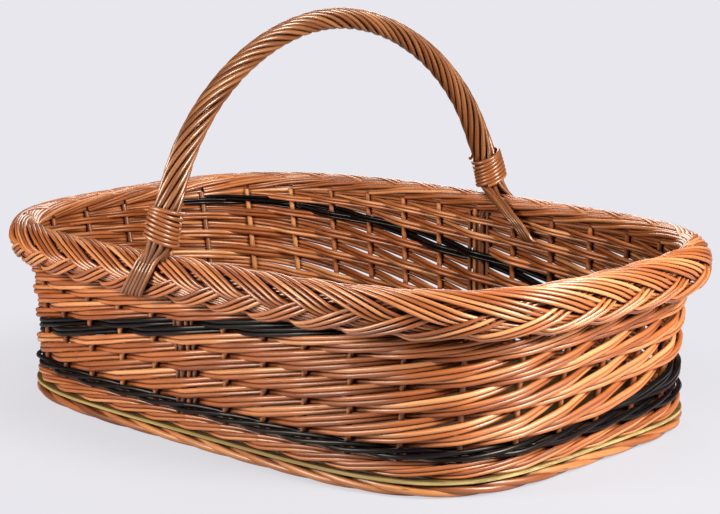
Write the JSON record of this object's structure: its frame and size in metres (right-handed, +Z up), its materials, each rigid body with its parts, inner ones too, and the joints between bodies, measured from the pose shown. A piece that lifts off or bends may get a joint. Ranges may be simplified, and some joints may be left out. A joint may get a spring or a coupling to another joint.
{
  "type": "handled willow basket",
  "caption": "Long rounded willow basket with a flat plywood base, sloping woven siding, two dark diagonal bands, a plaited rim and a fixed roped arch handle.",
  "frame": {"origin": "middle of the basket, on the ground under its foot border", "axes": "+X along the long side, +Y along the handle's span, +Z up"},
  "size_m": [0.5396, 0.3418, 0.2839],
  "materials": {
    "plywood": "bare",
    "stake_willow": "satin",
    "upsett_willow": "satin",
    "dark_wale_willow": "satin",
    "siding_willow": "satin",
    "dark_willow": "satin",
    "border_willow": "satin",
    "bow_willow": "satin",
    "handle_willow": "satin",
    "binding_willow": "satin"
  },
  "bodies": {
    "root": {"base_board": "plywood", "stakes_and_foot_border": "stake_willow", "handle_bow": "bow_willow", "handle_binding_near": "binding_willow", "handle_binding_far": "binding_willow", "upsett_wale_1": "upsett_willow", "dark_wale_1": "dark_wale_willow", "border_plait_1": "border_willow", "upsett_wale_2": "upsett_willow", "dark_wale_2": "dark_wale_willow", "border_plait_2": "border_willow", "upsett_wale_3": "upsett_willow", "dark_wale_3": "dark_wale_willow", "border_plait_3": "border_willow", "siding_pair_00": "siding_willow", "siding_pair_01": "siding_willow", "siding_pair_02": "siding_willow", "siding_pair_03": "siding_willow", "siding_pair_04": "siding_willow", "siding_pair_05": "siding_willow", "siding_pair_06": "siding_willow", "siding_pair_07": "siding_willow", "siding_pair_08": "siding_willow", "dark_pair_09": "dark_willow", "dark_pair_10": "dark_willow", "siding_pair_11": "siding_willow", "siding_pair_12": "siding_willow", "siding_pair_13": "siding_willow", "siding_pair_14": "siding_willow", "siding_pair_15": "siding_willow", "siding_pair_16": "siding_willow", "siding_pair_17": "siding_willow", "siding_pair_18": "siding_willow", "siding_pair_19": "siding_willow", "siding_pair_20": "siding_willow", "siding_pair_21": "siding_willow", "siding_pair_22": "siding_willow", "siding_pair_23": "siding_willow", "siding_pair_24": "siding_willow", "siding_pair_25": "siding_willow", "siding_pair_26": "siding_willow", "dark_pair_27": "dark_willow", "dark_pair_28": "dark_willow", "siding_pair_29": "siding_willow", "siding_pair_30": "siding_willow", "siding_pair_31": "siding_willow", "siding_pair_32": "siding_willow", "siding_pair_33": "siding_willow", "siding_pair_34": "siding_willow", "siding_pair_35": "siding_willow", "handle_rod_01": "handle_willow", "handle_rod_02": "handle_willow", "handle_rod_03": "handle_willow", "handle_rod_04": "handle_willow", "handle_rod_05": "handle_willow", "handle_rod_06": "handle_willow", "handle_rod_07": "handle_willow", "handle_rod_08": "handle_willow", "handle_rod_09": "handle_willow", "handle_rod_10": "handle_willow"}
  },
  "joints": []
}
